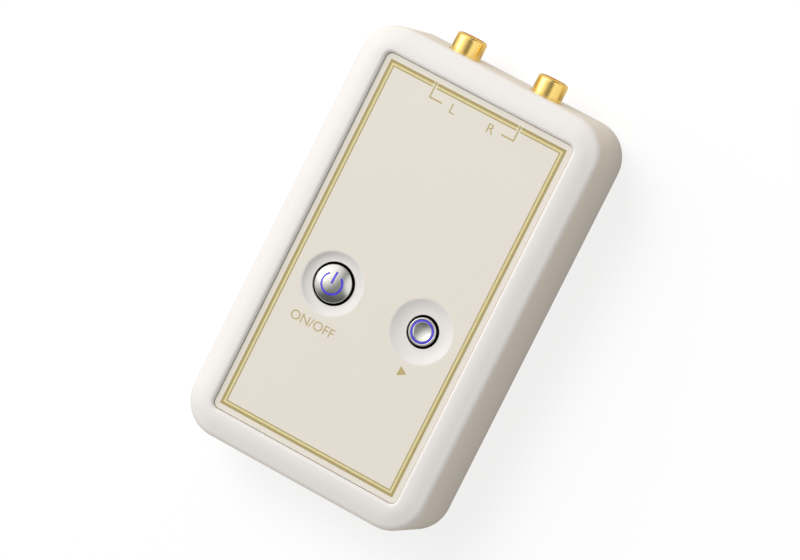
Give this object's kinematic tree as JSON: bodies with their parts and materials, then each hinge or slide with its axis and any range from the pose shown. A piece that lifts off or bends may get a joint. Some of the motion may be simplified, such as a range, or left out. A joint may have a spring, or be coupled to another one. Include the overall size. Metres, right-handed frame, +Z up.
{
  "type": "cartridge demagnetizer",
  "caption": "Hand-held cartridge demagnetizer: rounded box with a raised rim, an inlaid panel, lit push buttons in dished wells, rear phono jacks and a battery door below.",
  "frame": {"origin": "centre of the underside, on the surface that the case lies on", "axes": "+Z up out of the panel, +Y towards the phono jacks, +X towards the start button"},
  "size_m": [0.07, 0.122, 0.026],
  "materials": {
    "ivory_case": "moulded ABS, satin gloss",
    "cream_panel": "moulded panel, fine satin",
    "bright_metal": "bright plated",
    "blue_light_guide": "clear acrylic, lit blue",
    "black_plastic": "moulded, matt",
    "gilt_brass": "gold plated, polished",
    "white_insulator": "moulded, satin",
    "board_green": "solder mask over glass laminate",
    "battery_jacket": "printed metal jacket",
    "red_lead": "PVC sleeve",
    "black_lead": "PVC sleeve",
    "resistor_body": "lacquered",
    "capacitor_sleeve": "shrunk sleeve",
    "screw_steel": "zinc plated"
  },
  "bodies": {
    "case": {"upper_case": "ivory_case", "back_cover": "ivory_case", "front_panel": "cream_panel", "power_led": "blue_light_guide", "start_led": "blue_light_guide", "power_switch": "black_plastic", "start_switch": "black_plastic", "left_jack_housing": "black_plastic", "right_jack_housing": "black_plastic", "battery_snap": "black_plastic", "controller_chip": "black_plastic", "amplifier_chip": "black_plastic", "left_jack_shell": "gilt_brass", "right_jack_shell": "gilt_brass", "left_jack_contact": "gilt_brass", "right_jack_contact": "gilt_brass", "left_jack_insulator": "white_insulator", "right_jack_insulator": "white_insulator", "lead_header": "white_insulator", "circuit_board": "board_green", "battery": "battery_jacket", "battery_lead_red": "red_lead", "battery_lead_black": "black_lead", "resistors": "resistor_body", "capacitors": "capacitor_sleeve", "case_screws": "screw_steel", "board_screws": "screw_steel"},
    "power_button": {"power_cap": "bright_metal", "power_light_guide": "blue_light_guide", "power_plunger": "black_plastic"},
    "start_button": {"start_cap_rim": "bright_metal", "start_cap_centre": "bright_metal", "start_light_guide": "blue_light_guide", "start_plunger": "black_plastic"},
    "door": {"battery_door": "ivory_case"}
  },
  "joints": [
    {"name": "power_press", "type": "slide", "parent": "case", "child": "power_button", "axis": [0, 0, -1], "range_m": [0, 0.0006], "stiffness_N_per_m": 600, "springref_m": -0.001},
    {"name": "start_press", "type": "slide", "parent": "case", "child": "start_button", "axis": [0, 0, -1], "range_m": [0, 0.0006], "stiffness_N_per_m": 600, "springref_m": -0.001},
    {"name": "door_slide", "type": "slide", "parent": "case", "child": "door", "axis": [0, -1, 0], "range_m": [0, 0.028]}
  ]
}
